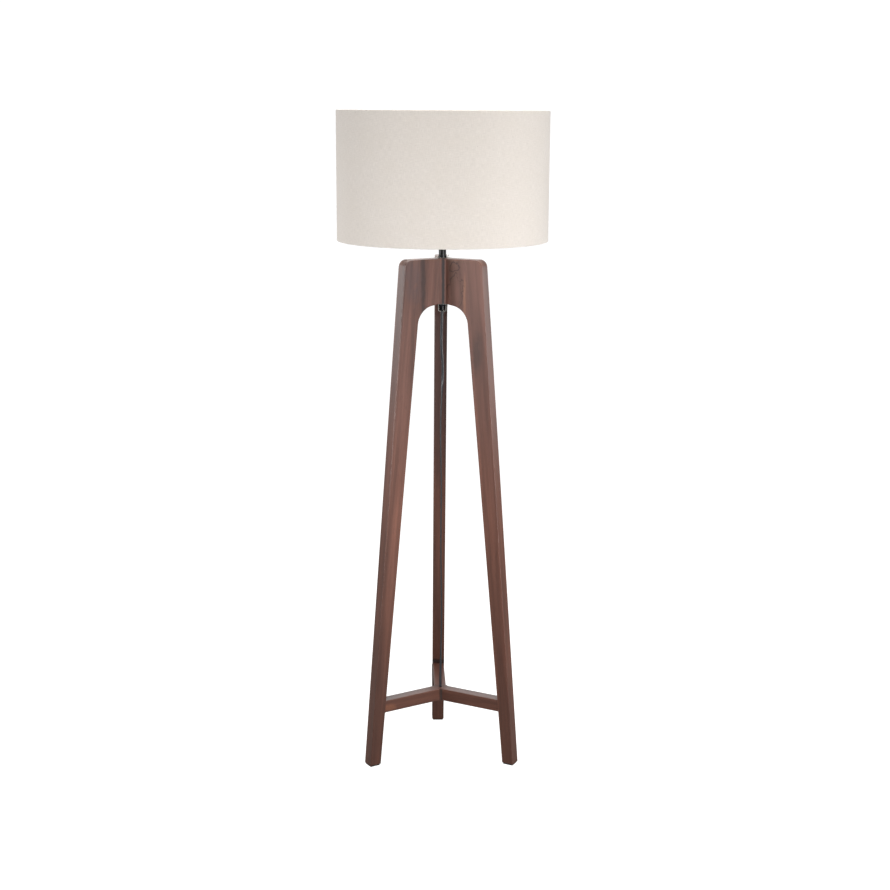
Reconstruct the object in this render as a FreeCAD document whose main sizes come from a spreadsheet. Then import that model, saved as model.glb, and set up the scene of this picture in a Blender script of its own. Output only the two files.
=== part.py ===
import FreeCAD, Part
import math
import os
import re
import Sketcher
from FreeCAD import Placement, Rotation, Vector

# Tripod floor lamp: three leaning wooden boards meet on a six-sided post, three stretchers meet on a
# hub near the floor, and a hollow pipe through the post carries the lampholder, bulb and drum shade.
# The origin is on the floor below the post's axis, +Z is up, -Y is the front and +Y the back leg.

doc = FreeCAD.newDocument("TripodFloorLamp")
sheet = doc.addObject("Spreadsheet::Sheet", "Sizes")

sizes = [
    ("overcut", 1, "how far a cut reaches past the face it opens"),
    ("headTop", 1194, "top of the head boards"),
    ("archTop", 1091, "underside of the head at the post"),
    ("archDrop", 9, "fall of that underside from the post to the leg"),
    ("archRadius", 45, "arch between underside and leg"),
    ("shoulderRadius", 18, "outer top corner of the head"),
    ("boardThick", 29, "thickness of the leg boards"),
    ("easeRadius", 1.6, "rounding along the wood's edges"),
    ("footOuter", 203.1, "outer edge of a leg at the floor, from the axis"),
    ("footInner", 175.1, "inner edge of a leg at the floor, from the axis"),
    ("outerLean", 0.0807, "lean of the outer edge, mm per mm of height"),
    ("innerLean", 0.0976, "lean of the inner edge, mm per mm of height"),
    ("padThick", 3, "rubber foot pad"),
    ("padSide", 25, "side of a foot pad"),
    ("padRadius", 188.9, "centre of a foot pad from the axis"),
    ("padCorner", 2, "rounding of the pad's corners"),
    ("tackRadius", 1.4, "shank of a pad's tack"),
    ("tackHead", 4, "head radius of a pad's tack"),
    ("tackThick", 1, "thickness of that head"),
    ("tackSunk", 0.4, "depth of the head below the pad's underside"),
    ("tackGap", 0.3, "gap round the head"),
    ("tackLength", 16, "length of a pad's tack"),
    ("postWide", 29, "post faces that carry a board"),
    ("postNarrow", 14, "post faces in the valleys between boards"),
    ("pipeBore", 5, "radius of the holes the pipe passes"),
    ("barWidth", 27, "width of a stretcher"),
    ("barTop", 158, "top of the stretchers"),
    ("barBottom", 129, "underside of the stretchers"),
    ("hubNarrow", 8, "hub faces in the valleys between stretchers"),
    ("hubHole", 4, "radius of the cord hole in the hub"),
    ("hubRecess", 7, "radius of the recess under that hole"),
    ("hubRecessTop", 150, "top of that recess"),
    ("channelWidth", 10, "cord channel under the hub and back stretcher"),
    ("channelTop", 143, "ceiling of that channel"),
    ("cordLevel", 133, "height of the cord in the channel"),
    ("legHole", 4.5, "radius of the cord hole in the back leg"),
    ("dowelRadius", 4, "dowels between post and boards"),
    ("dowelInPost", 9, "their depth in the post"),
    ("dowelInBoard", 21, "their depth in the board"),
    ("dowelLow", 1116, "height of the lower dowels"),
    ("dowelHigh", 1166, "height of the upper dowels"),
    ("pegRadius", 3, "dowels of the stretchers"),
    ("pegLevel", 150.5, "height of those dowels"),
    ("pegInHub", 4.5, "their depth in the hub"),
    ("pegInBar", 18, "their depth in a stretcher"),
    ("pegInLeg", 14, "their depth in a leg"),
    ("pegSpread", 15, "spacing of the two dowels at a leg"),
    ("pipeRadius", 4.9, "hollow threaded pipe"),
    ("pipeHole", 3.5, "bore of the pipe"),
    ("pipeBottom", 1080, "lower end of the pipe"),
    ("pipeTop", 1234, "upper end of the pipe"),
    ("nutFlats", 13, "width across flats of the pipe nuts"),
    ("nutThick", 4, "thickness of the pipe nuts"),
    ("washerRadius", 8, "washer under the post"),
    ("washerThick", 1, "its thickness"),
    ("yokeWidth", 18.7, "outer width of the cord grip's yoke"),
    ("yokeDepth", 12.5, "width of the yoke's strip"),
    ("yokeThick", 1.6, "thickness of the yoke's strip"),
    ("yokeBottom", 1071.3, "bottom of the yoke"),
    ("yokeBend", 5, "outer radius of the yoke's bends"),
    ("gripRadius", 6.6, "cord grip inside the yoke"),
    ("gripNose", 3, "chamfer at the grip's lower end"),
    ("gripGap", 0.2, "gap between grip and yoke"),
    ("gripScrew", 1.5, "radius of the grip's screw"),
    ("gripScrewRise", 5, "height of that screw above the grip's lower end"),
    ("yokeSlot", 3.5, "half width of the slot that the cord slips into"),
    ("cordDiameter", 6, "width of the flat twin cord"),
    ("leadRadius", 1.2, "insulated leads inside the pipe"),
    ("leadSpread", 3.2, "their spacing"),
    ("saddleThick", 1.2, "strip saddle under the stem"),
    ("saddleHalf", 10.5, "half length of the saddle's flat part"),
    ("saddleDepth", 13, "width of the saddle strip"),
    ("earRise", 8, "height of the saddle's ears"),
    ("earOut", 4, "how far the ears lean out"),
    ("flangeRadius", 9.7, "flange at the stem's foot"),
    ("flangeThick", 4.5, "thickness of that flange"),
    ("flangeBevel", 1.2, "bevel round its top"),
    ("stemRadius", 8.5, "outside of the stem"),
    ("holderBottom", 1222, "bottom of the lampholder"),
    ("holderRadius", 20, "cap of the lampholder"),
    ("holderSplit", 1250, "joint between cap and body"),
    ("coneRadius", 10, "foot of the cap's cone"),
    ("coneHigh", 15, "height of that cone"),
    ("capWall", 2, "wall of the cap"),
    ("capFloor", 4, "floor of the cap"),
    ("baseThick", 10, "insulating base of the holder's body"),
    ("skirtStep", 4, "collar of the body above the joint"),
    ("skirtWall", 4, "wall of the body"),
    ("skirtRadius", 19.2, "threaded outside of the holder's body"),
    ("skirtTop", 1296, "top of the holder's body"),
    ("shellBore", 13.08, "inside of the brass screw shell"),
    ("shellWall", 0.5, "its wall"),
    ("shellFloor", 1, "thickness of its floor"),
    ("shellEye", 9, "radius of the hole in that floor"),
    ("shellShort", 3, "how far the shell stops below the top of the bulb's cap"),
    ("contactRadius", 3, "centre contact of the holder"),
    ("bulbCapRadius", 13, "screw cap of the bulb"),
    ("bulbCapWall", 0.5, "its wall"),
    ("tipRadius", 4.5, "centre contact of the bulb"),
    ("tipHigh", 1.5, "height of that contact"),
    ("insulatorHigh", 4, "insulator between contact and screw cap"),
    ("bulbTipZ", 1263.5, "bottom of the bulb's centre contact"),
    ("bulbCapTop", 1290, "top of the bulb's screw cap"),
    ("bulbRadius", 30, "globe of the bulb"),
    ("bulbCentre", 1343, "centre of the globe"),
    ("bulbNeck", 12.4, "radius of the glass at the cap"),
    ("bulbShoulder", 28.14, "radius where neck and globe are tangent"),
    ("bulbNeckHigh", 42.6, "height of the neck up to there"),
    ("bulbFoot", 10, "glass inside the screw cap"),
    ("bulbWall", 0.8, "glass wall"),
    ("clampBottom", 1262, "bottom of the shade's lower clamp ring"),
    ("clampThick", 3, "thickness of that ring"),
    ("clampRadius", 27, "outside of the clamp rings"),
    ("clampUpper", 7.6, "thickness of the upper clamp ring"),
    ("clampFlange", 2, "thickness of its flange"),
    ("clampStep", 3, "width of that flange beyond the ring"),
    ("threadGap", 0.05, "clearance on the body's thread"),
    ("fitterThick", 1.8, "plate of the shade's carrier"),
    ("fitterHole", 19.8, "hole of that plate"),
    ("runGap", 0.3, "gap above and below the turning plate"),
    ("plateRadius", 31, "outside of that plate"),
    ("armRadius", 2, "wire of the carrier's arms"),
    ("armLanding", 4, "height of the arms' ends above the hem's fold"),
    ("shadeRadius", 240, "outside of the shade"),
    ("shadeTop", 1524, "top of the shade"),
    ("shadeBottom", 1234, "bottom of the shade"),
    ("fabricThick", 0.9, "linen of the shade"),
    ("linerThick", 0.6, "stiff liner behind the linen"),
    ("linerGap", 0.1, "gap between linen and liner"),
    ("wireRadius", 1.6, "wire rings of the shade"),
    ("wireGap", 0.1, "gap between liner and wire"),
    ("hemHigh", 6, "height of the rolled hems"),
    ("hemThick", 0.6, "cloth of the hems"),
    ("hemGap", 0.05, "gap between hem and linen"),
    ("switchLevel", 1243, "height of the switch"),
    ("bushRadius", 4, "switch bush"),
    ("shaftHole", 2.05, "bore of the switch bush"),
    ("shaftRadius", 2, "switch shaft"),
    ("shaftStart", 14, "inner end of the shaft from the axis"),
    ("bushEnd", 27, "outer end of the bush from the axis"),
    ("knobRadius", 7, "switch knob"),
    ("knobStart", 27.4, "inner face of the knob"),
    ("knobLong", 14, "length of the knob"),
    ("knobBore", 8, "depth of the shaft in the knob"),
    ("knobPlain", 5, "smooth stretch of the knob before its flutes"),
    ("fluteRadius", 1, "radius of a flute"),
    ("clipLong", 22, "clips across the cord channel"),
    ("clipWide", 12, "width of a clip"),
    ("clipThick", 1.5, "thickness of a clip"),
    ("clipNear", 62, "first clip, from the axis"),
    ("clipFar", 132, "second clip, from the axis"),
    ("clipScrew", 1.25, "radius of a clip's screws"),
    ("clipScrewLong", 10, "length of a clip's screws"),
    ("clipScrewOut", 0.8, "how far their heads stand below the clip"),
    ("clipScrewInset", 3, "their distance from the clip's end"),
    ("hankCentre", -0.1, "middle of the hank, across"),
    ("hankWide", 18.6, "width of the hank"),
    ("hankStart", 275, "where its straight runs start"),
    ("hankRun", 105, "length of its straight runs"),
    ("hankEnd", 22.8, "outer radius of its folds"),
    ("hankBottom", 0.9, "bottom of the hank"),
    ("tieThick", 0.8, "band round the hank"),
    ("tieWide", 10, "width of that band"),
    ("plugStart", 436, "where the plug's sleeve starts"),
    ("plugLevel", 17.5, "height of the plug's axis"),
    ("sleeveLong", 22, "bend sleeve of the plug"),
    ("sleeveWall", 0.6, "wall of that sleeve at the cord"),
    ("plugLong", 36, "body of the plug"),
    ("plugHigh", 35, "width of the plug, standing on edge"),
    ("plugThick", 13.7, "thickness of the plug"),
    ("plugTaper", 8, "narrowing of each side towards the cord"),
    ("plugTaperLong", 12, "length of that narrowing"),
    ("plugEase", 2.5, "rounding of the plug's edges"),
    ("pinRadius", 2, "plug pins"),
    ("pinLong", 19, "their length"),
    ("pinSpread", 18.6, "their spacing"),
]
for row, (alias, value, note) in enumerate(sizes, 1):
    sheet.set(f"A{row}", alias)
    sheet.set(f"B{row}", str(value))
    sheet.set(f"C{row}", note)
    sheet.setAlias(f"B{row}", alias)
doc.recompute()

words = re.compile(r"\b(" + "|".join(alias for alias, value, note in sizes) + r")\b")
legs = {"front_left": 210, "front_right": 330, "back": 90}
nodes = {}
hair = 0.01  # two places closer than this are the same corner


def formula(text):
    return words.sub(r"Sizes.\1", str(text))


def size(text):
    return float(sheet.evalExpression(formula(text)))


def bind(item, **values):
    for key, text in values.items():
        item.setExpression(key.replace("_", "."), formula(text))
    return item


def node(item, name):
    item.Label = name
    nodes[name] = item
    return item


def add(kind, name):
    return doc.addObject(kind, name)


def at(item, x="0", y="0", z="0"):
    return bind(item, Placement_Base_x=x, Placement_Base_y=y, Placement_Base_z=z)


def cylinder(name, radius, length, x="0", y="0", z="0", axis=None):
    item = bind(add("Part::Cylinder", name), Radius=radius, Height=length)
    if axis:
        item.Placement = Placement(Vector(), Rotation(Vector(0, 0, 1), axis))
    return at(item, x, y, z)


def box(name, x, y, z, long, wide, high):
    return at(bind(add("Part::Box", name), Length=long, Width=wide, Height=high), x, y, z)


def cut(name, base, tool):
    item = add("Part::Cut", name)
    item.Base, item.Tool = base, tool
    return item


def tube(name, outer, inner, length, x="0", y="0", z="0", axis=None):
    outside = cylinder(name + "_outside", outer, length, x, y, z, axis)
    inside = cylinder(name + "_inside", inner, length, x, y, z, axis)
    return cut(name, outside, inside)


def group(name, members):
    item = add("Part::Compound", name)
    item.Links = members
    return node(item, name)


def turned_about_axis(item, azimuth):
    item.Placement = Placement(Vector(), Rotation(Vector(0, 0, 1), azimuth))
    return item


def sketch_on(body, name, plane, offset="0"):
    sketch = body.newObject("Sketcher::SketchObject", name)
    origin = [f for f in body.Origin.OriginFeatures if f.Role == plane][0]
    sketch.AttachmentSupport = [(origin, "")]
    sketch.MapMode = "FlatFace"
    sketch.setExpression("AttachmentOffset.Base.z", formula(offset))
    return sketch


def outline(sketch, corners):
    # closed outline of straight sides; every corner is held by its distances from the origin
    first = sketch.GeometryCount
    places = [Vector(size(x), size(y), 0) for x, y in corners]
    count = len(places)
    for i in range(count):
        sketch.addGeometry(Part.LineSegment(places[i], places[(i + 1) % count]), False)
    for i in range(count):
        follower = first + (i + 1) % count
        sketch.addConstraint(Sketcher.Constraint("Coincident", first + i, 2, follower, 1))
    for i, (x, y) in enumerate(corners):
        for kind, text, value in (("DistanceX", x, places[i].x), ("DistanceY", y, places[i].y)):
            index = sketch.addConstraint(Sketcher.Constraint(kind, -1, 1, first + i, 1, value))
            sketch.setExpression(f"Constraints[{index}]", formula(text))


def circle(sketch, x, y, radius):
    geo = sketch.addGeometry(Part.Circle(Vector(size(x), size(y), 0), Vector(0, 0, 1), size(radius)))
    for kind, text in (("DistanceX", x), ("DistanceY", y)):
        index = sketch.addConstraint(Sketcher.Constraint(kind, -1, 1, geo, 3, size(text)))
        sketch.setExpression(f"Constraints[{index}]", formula(text))
    index = sketch.addConstraint(Sketcher.Constraint("Radius", geo, size(radius)))
    sketch.setExpression(f"Constraints[{index}]", formula(radius))


def pad(body, name, plane, corners, length, offset="0", middle=False):
    sketch = sketch_on(body, name + "_sketch", plane, offset)
    outline(sketch, corners)
    item = body.newObject("PartDesign::Pad", name)
    item.Profile = sketch
    item.Midplane = middle
    bind(item, Length=length)
    doc.recompute()
    return item


def pocket(body, name, sketch, length, back=True, middle=False):
    # cuts from the sketch along its normal when back is set, against it otherwise
    before = body.Shape.Volume
    item = body.newObject("PartDesign::Pocket", name)
    item.Profile = sketch
    item.Reversed = back
    item.Midplane = middle
    bind(item, Length=length)
    doc.recompute()
    if body.Shape.Volume > before - hair:
        raise RuntimeError(f"{name} cuts nothing from {body.Label}")
    return item


def drilled(body, name, plane, offset, length, radius, places, back=True):
    sketch = sketch_on(body, name + "_sketch", plane, offset)
    for x, y in places:
        circle(sketch, x, y, radius)
    return pocket(body, name, sketch, length, back)


def fillet(body, name, base, radius, wanted):
    item = body.newObject("PartDesign::Fillet", name)
    picked = [f"Edge{i}" for i, edge in enumerate(base.Shape.Edges, 1) if wanted(edge)]
    item.Base = (base, picked)
    bind(item, Radius=radius)
    doc.recompute()
    return item


def revolved(name, corners):
    # a turned piece: its half section in radius and height, spun about the Z axis
    body = add("PartDesign::Body", name)
    sketch = sketch_on(body, name + "_sketch", "XZ_Plane")
    outline(sketch, corners)
    item = body.newObject("PartDesign::Revolution", name + "_turned")
    item.Profile = sketch
    item.ReferenceAxis = (sketch, ["V_Axis"])
    item.Angle = 360
    return body


def corner_edge(x, z):
    # picks the straight edge across a board at one corner of its outline
    def wanted(edge):
        a, b = edge.Vertexes[0].Point, edge.Vertexes[-1].Point
        at_corner = abs(a.x - size(x)) < hair and abs(a.z - size(z)) < hair
        return at_corner and abs(a.x - b.x) < hair and abs(a.z - b.z) < hair
    return wanted


def rim_edge(thick, joints):
    # picks the edges round a board's two broad faces, but not along its glued joints
    def wanted(edge):
        a, b = edge.Vertexes[0].Point, edge.Vertexes[-1].Point
        half = size(thick) / 2
        on_face = abs(abs(a.y) - half) < hair and abs(a.y - b.y) < hair
        return on_face and not any(joint(a) and joint(b) for joint in joints)
    return wanted


def inner_edge(z):
    return f"(footInner - innerLean * ({z}))"


def outer_edge(z):
    return f"(footOuter - outerLean * ({z}))"


# distance from the axis to the faces that carry a board or a stretcher
post_face = "((postWide + 2 * postNarrow) / (2 * sqrt(3)))"
hub_face = "((barWidth + 2 * hubNarrow) / (2 * sqrt(3)))"


def six_sided(face, width):
    # corners of a six-sided block whose wide faces look towards the three legs
    corners = []
    for azimuth in sorted(legs.values()):
        for side in ("-", "+"):
            along = f"{width} / 2 * sin({azimuth} deg)"
            across = f"{width} / 2 * cos({azimuth} deg)"
            other = "+" if side == "-" else "-"
            corners.append((f"{face} * cos({azimuth} deg) {other} {along}",
                            f"{face} * sin({azimuth} deg) {side} {across}"))
    return corners


# --- wooden frame

def leg(side, azimuth):
    name = "leg_" + side
    body = node(add("PartDesign::Body", name), name)
    arch_low = "(archTop - archDrop)"
    corners = [(inner_edge("padThick"), "padThick"), (outer_edge("padThick"), "padThick"),
               (outer_edge("headTop"), "headTop"), (post_face, "headTop"), (post_face, "archTop"),
               (inner_edge(arch_low), arch_low)]
    board = pad(body, name + "_board", "XZ_Plane", corners, "boardThick", middle=True)
    arch = fillet(body, name + "_arch", board, "archRadius",
                  corner_edge(inner_edge(arch_low), arch_low))
    shoulder = fillet(body, name + "_shoulder", arch, "shoulderRadius",
                      corner_edge(outer_edge("headTop"), "headTop"))
    at_post = lambda point: abs(point.x - size(post_face)) < hair
    fillet(body, name + "_eased", shoulder, "easeRadius", rim_edge("boardThick", [at_post]))
    drilled(body, name + "_dowel_holes", "YZ_Plane", post_face, "dowelInBoard", "dowelRadius",
            [("0", "dowelLow"), ("0", "dowelHigh")])
    drilled(body, name + "_peg_holes", "YZ_Plane", inner_edge("pegLevel") + " - overcut",
            "pegInLeg + overcut", "pegRadius",
            [("-pegSpread / 2", "pegLevel"), ("pegSpread / 2", "pegLevel")])
    if side == "back":
        start = f"({inner_edge('cordLevel')} - 2 * overcut)"
        drilled(body, name + "_cord_hole", "YZ_Plane", start,
                f"{outer_edge('cordLevel')} + 2 * overcut - {start}", "legHole", [("0", "cordLevel")])
    turned_about_axis(body, azimuth)


def stretcher(side, azimuth):
    name = "stretcher_" + side
    body = node(add("PartDesign::Body", name), name)
    corners = [(hub_face, "barBottom"), (inner_edge("barBottom"), "barBottom"),
               (inner_edge("barTop"), "barTop"), (hub_face, "barTop")]
    bar = pad(body, name + "_bar", "XZ_Plane", corners, "barWidth", middle=True)
    low, high = size(inner_edge("barTop")), size(hub_face)
    ends = [lambda point: point.x > low - hair, lambda point: point.x < high + hair]
    fillet(body, name + "_eased", bar, "easeRadius", rim_edge("barWidth", ends))
    drilled(body, name + "_hub_peg", "YZ_Plane", hub_face, "pegInBar", "pegRadius",
            [("0", "pegLevel")])
    drilled(body, name + "_leg_pegs", "YZ_Plane", inner_edge("pegLevel") + " - pegInBar",
            "pegInBar + pegRadius", "pegRadius",
            [("-pegSpread / 2", "pegLevel"), ("pegSpread / 2", "pegLevel")])
    if side == "back":
        channel = sketch_on(body, name + "_channel_sketch", "XY_Plane", "barBottom")
        half = "channelWidth / 2"
        outline(channel, [("0", "-" + half), ("footInner", "-" + half),
                          ("footInner", half), ("0", half)])
        pocket(body, name + "_channel", channel, "channelTop - barBottom")
    turned_about_axis(body, azimuth)


def head_post():
    body = add("PartDesign::Body", "post_blank")
    pad(body, "post_block", "XY_Plane", six_sided(post_face, "postWide"), "headTop - archTop",
        offset="archTop")
    drilled(body, "post_bore", "XY_Plane", "archTop", "headTop - archTop", "pipeBore", [("0", "0")])
    tools = add("Part::Compound", "post_dowel_holes")
    tools.Links = dowel_row("post_hole")
    node(cut("post_drilled", body, tools), "head_post")


def dowel_row(name):
    # two dowels a leg, lying along the leg's own direction, from the post into the board
    made = []
    for side, azimuth in legs.items():
        toward = Vector(math.cos(math.radians(azimuth)), math.sin(math.radians(azimuth)), 0)
        for level in ("dowelLow", "dowelHigh"):
            start = f"({post_face} - dowelInPost)"
            made.append(cylinder(f"{name}_{side}_{level}", "dowelRadius",
                                 "dowelInPost + dowelInBoard",
                                 f"{start} * cos({azimuth} deg)", f"{start} * sin({azimuth} deg)",
                                 level, toward))
    return made


def peg(name, azimuth, start, length, across):
    toward = Vector(math.cos(math.radians(azimuth)), math.sin(math.radians(azimuth)), 0)
    return cylinder(name, "pegRadius", length,
                    f"({start}) * cos({azimuth} deg) - ({across}) * sin({azimuth} deg)",
                    f"({start}) * sin({azimuth} deg) + ({across}) * cos({azimuth} deg)",
                    "pegLevel", toward)


def hub_pegs(name):
    return [peg(f"{name}_{side}", azimuth, f"{hub_face} - pegInHub", "pegInHub + pegInBar", "0")
            for side, azimuth in legs.items()]


def leg_pegs(name):
    start = inner_edge("pegLevel") + " - pegInBar"
    return [peg(f"{name}_{side}_{i}", azimuth, start, "pegInBar + pegInLeg", f"{sign}pegSpread / 2")
            for side, azimuth in legs.items() for i, sign in enumerate(("-", ""))]


def stretcher_hub():
    body = add("PartDesign::Body", "hub_blank")
    pad(body, "hub_block", "XY_Plane", six_sided(hub_face, "barWidth"), "barTop - barBottom",
        offset="barBottom")
    drilled(body, "hub_hole", "XY_Plane", "barBottom", "barTop - barBottom", "hubHole",
            [("0", "0")])
    drilled(body, "hub_recess", "XY_Plane", "barBottom", "hubRecessTop - barBottom", "hubRecess",
            [("0", "0")])
    channel = sketch_on(body, "hub_channel_sketch", "XY_Plane", "barBottom")
    half = "channelWidth / 2"
    outline(channel, [("-" + half, "0"), (half, "0"), (half, "barWidth"), ("-" + half, "barWidth")])
    pocket(body, "hub_channel", channel, "channelTop - barBottom")
    tools = add("Part::Compound", "hub_peg_holes")
    tools.Links = hub_pegs("hub_hole_peg")
    node(cut("hub_drilled", body, tools), "stretcher_hub")


for side, azimuth in legs.items():
    leg(side, azimuth)
    stretcher(side, azimuth)
head_post()
stretcher_hub()
group("head_dowels", dowel_row("head_dowel"))
group("hub_dowels", hub_pegs("hub_dowel"))
group("leg_dowels", leg_pegs("leg_dowel"))


def foot_pads():
    pads, tacks = [], []
    for side, azimuth in legs.items():
        block = box("pad_block_" + side, "padRadius - padSide / 2", "-padSide / 2", "0",
                    "padSide", "padSide", "padThick")
        eased = add("Part::Fillet", "pad_eased_" + side)
        eased.Base = block
        doc.recompute()
        corner = size("padCorner")
        eased.Edges = [(i, corner, corner) for i, edge in enumerate(block.Shape.Edges, 1)
                       if abs(edge.Vertexes[0].Point.z - edge.Vertexes[1].Point.z) > hair]
        recess = cylinder("pad_recess_" + side, "tackHead + tackGap", "tackSunk + tackThick",
                          x="padRadius")
        shank_hole = cylinder("pad_hole_" + side, "tackRadius", "padThick", x="padRadius")
        pierced = cut("pad_pierced_" + side, cut("pad_sunk_" + side, eased, recess), shank_hole)
        pads.append(turned_about_axis(pierced, azimuth))
        head = cylinder("tack_head_" + side, "tackHead", "tackThick", x="padRadius", z="tackSunk")
        shank = cylinder("tack_shank_" + side, "tackRadius", "tackLength", x="padRadius", z="tackSunk")
        tack = add("Part::Fuse", "tack_" + side)
        tack.Base, tack.Tool = head, shank
        tacks.append(turned_about_axis(tack, azimuth))
    group("foot_pads", pads)
    group("pad_tacks", tacks)


foot_pads()


# --- pipe through the post, with the cord grip below it and the stem above

def hex_nut(name, bottom):
    prism = add("Part::Prism", name + "_prism")
    prism.Polygon = 6
    at(bind(prism, Circumradius="nutFlats / sqrt(3)", Height="nutThick"), z=bottom)
    return node(cut(name, prism, cylinder(name + "_thread", "pipeRadius", "nutThick", z=bottom)), name)


node(tube("lamp_pipe", "pipeRadius", "pipeHole", "pipeTop - pipeBottom", z="pipeBottom"), "lamp_pipe")
node(tube("post_washer", "washerRadius", "pipeBore", "washerThick", z="archTop - washerThick"),
     "post_washer")
yoke_top = "(archTop - washerThick)"
nut_level = f"({yoke_top} - yokeThick - nutThick)"
hex_nut("pipe_nut_lower", nut_level)
hex_nut("pipe_nut_upper", "(holderBottom + capFloor)")


def grip_yoke():
    body = node(add("PartDesign::Body", "grip_yoke"), "grip_yoke")
    half, inside = "(yokeWidth / 2)", "(yokeWidth / 2 - yokeThick)"
    block = pad(body, "yoke_block", "XZ_Plane",
                [("-" + half, "yokeBottom"), (half, "yokeBottom"), (half, yoke_top),
                 ("-" + half, yoke_top)], "yokeDepth", middle=True)
    at_bottom = lambda edge: all(abs(v.Point.z - size("yokeBottom")) < hair for v in edge.Vertexes)
    across = lambda edge: abs(edge.Vertexes[0].Point.x - edge.Vertexes[1].Point.x) < hair
    fillet(body, "yoke_bends", block, "yokeBend", lambda edge: at_bottom(edge) and across(edge))
    floor = "(yokeBottom + yokeThick)"
    window = sketch_on(body, "yoke_window_sketch", "XZ_Plane")
    ceiling = f"({yoke_top} - yokeThick)"
    outline(window, [("-" + inside, floor), (inside, floor), (inside, ceiling),
                     ("-" + inside, ceiling)])
    opened = pocket(body, "yoke_window", window, "yokeDepth + 2 * overcut", middle=True)
    on_floor = lambda edge: all(abs(v.Point.z - size(floor)) < hair for v in edge.Vertexes)
    fillet(body, "yoke_inner_bends", opened, "yokeBend - yokeThick",
           lambda edge: on_floor(edge) and across(edge))
    drilled(body, "yoke_pipe_hole", "XY_Plane", f"{yoke_top} - yokeThick - overcut",
            "yokeThick + 2 * overcut", "pipeBore", [("0", "0")])
    drilled(body, "yoke_cord_hole", "XY_Plane", "yokeBottom - overcut", "yokeThick + 2 * overcut",
            "yokeSlot", [("0", "0")])
    slot = sketch_on(body, "yoke_slot_sketch", "XY_Plane", "yokeBottom - overcut")
    outline(slot, [("-yokeSlot", "-yokeDepth"), ("yokeSlot", "-yokeDepth"), ("yokeSlot", "0"),
                   ("-yokeSlot", "0")])
    pocket(body, "yoke_slot", slot, "yokeThick + 2 * overcut")


def cord_grip():
    bottom = "(yokeBottom + yokeThick + gripGap)"
    blank = revolved("grip_blank", [
        ("0", bottom), ("gripRadius - gripNose", bottom), ("gripRadius", f"{bottom} + gripNose"),
        ("gripRadius", nut_level), ("pipeRadius", nut_level), ("pipeRadius", "pipeBottom"),
        ("0", "pipeBottom")])
    place = dict(y="gripRadius", z=f"{bottom} + gripScrewRise", axis=Vector(0, -1, 0))
    length = "gripRadius - cordDiameter / 2"
    screw_hole = cylinder("grip_screw_hole", "gripScrew", length, **place)
    node(cut("grip_drilled", blank, screw_hole), "cord_grip")
    node(cylinder("grip_screw", "gripScrew", length, **place), "grip_screw")


grip_yoke()
cord_grip()


def stem_saddle():
    body = node(add("PartDesign::Body", "stem_saddle"), "stem_saddle")
    top = "(headTop + saddleThick)"
    right = [("0", "headTop"), ("saddleHalf", "headTop"),
             ("saddleHalf + earOut + saddleThick", "headTop + earRise"),
             ("saddleHalf + earOut", "headTop + earRise"),
             ("saddleHalf - saddleThick / 2", top), ("0", top)]
    left = [(f"-({x})", z) for x, z in right[-2:0:-1]]
    pad(body, "saddle_strip", "XZ_Plane", right[1:-1] + left, "saddleDepth", middle=True)
    drilled(body, "saddle_hole", "XY_Plane", "headTop - overcut", "saddleThick + 2 * overcut",
            "pipeBore", [("0", "0")])


stem_saddle()
flange_bottom = "(headTop + saddleThick)"
node(revolved("stem_flange", [
    ("pipeBore", flange_bottom), ("flangeRadius", flange_bottom),
    ("flangeRadius", f"{flange_bottom} + flangeThick - flangeBevel"),
    ("stemRadius", f"{flange_bottom} + flangeThick"), ("pipeBore", f"{flange_bottom} + flangeThick"),
]), "stem_flange")
node(tube("stem_tube", "stemRadius", "pipeBore", f"holderBottom - {flange_bottom} - flangeThick",
          z=f"{flange_bottom} + flangeThick"), "stem_tube")
group("supply_leads", [
    cylinder("lead_" + side, "leadRadius", "holderSplit - pipeBottom", x=f"{sign}leadSpread / 2",
             z="pipeBottom")
    for side, sign in (("live", "-"), ("neutral", ""))])


# --- lampholder with its switch

def holder_cap():
    body = revolved("lampholder_cap", [
        ("pipeBore", "holderBottom"), ("coneRadius", "holderBottom"),
        ("holderRadius", "holderBottom + coneHigh"), ("holderRadius", "holderSplit"),
        ("holderRadius - capWall", "holderSplit"), ("holderRadius - capWall", "holderBottom + coneHigh"),
        ("coneRadius", "holderBottom + capFloor"), ("pipeBore", "holderBottom + capFloor")])
    node(body, "lampholder_cap")
    doc.recompute()
    drilled(body, "cap_switch_hole", "YZ_Plane", "holderRadius / 2", "holderRadius", "bushRadius",
            [("0", "switchLevel")])


holder_cap()
base_top = "(holderSplit + baseThick)"
node(revolved("lampholder_body", [
    ("0", "holderSplit"), ("holderRadius", "holderSplit"), ("holderRadius", "holderSplit + skirtStep"),
    ("skirtRadius", "holderSplit + skirtStep + holderRadius - skirtRadius"),
    ("skirtRadius", "skirtTop"), ("skirtRadius - skirtWall", "skirtTop"),
    ("skirtRadius - skirtWall", base_top), ("0", base_top),
]), "lampholder_body")
node(revolved("screw_shell", [
    ("shellEye", base_top), ("shellBore + shellWall", base_top),
    ("shellBore + shellWall", "bulbCapTop - shellShort"), ("shellBore", "bulbCapTop - shellShort"),
    ("shellBore", f"{base_top} + shellFloor"), ("shellEye", f"{base_top} + shellFloor"),
]), "screw_shell")
node(cylinder("centre_contact", "contactRadius", f"bulbTipZ - runGap - {base_top}", z=base_top),
     "centre_contact")
out = Vector(1, 0, 0)
node(tube("switch_bush", "bushRadius", "shaftHole", "bushEnd - holderRadius + capWall",
          x="holderRadius - capWall", z="switchLevel", axis=out), "switch_bush")
node(cylinder("switch_shaft", "shaftRadius", "knobStart + knobBore - shaftStart", x="shaftStart",
              z="switchLevel", axis=out), "switch_shaft")


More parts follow.
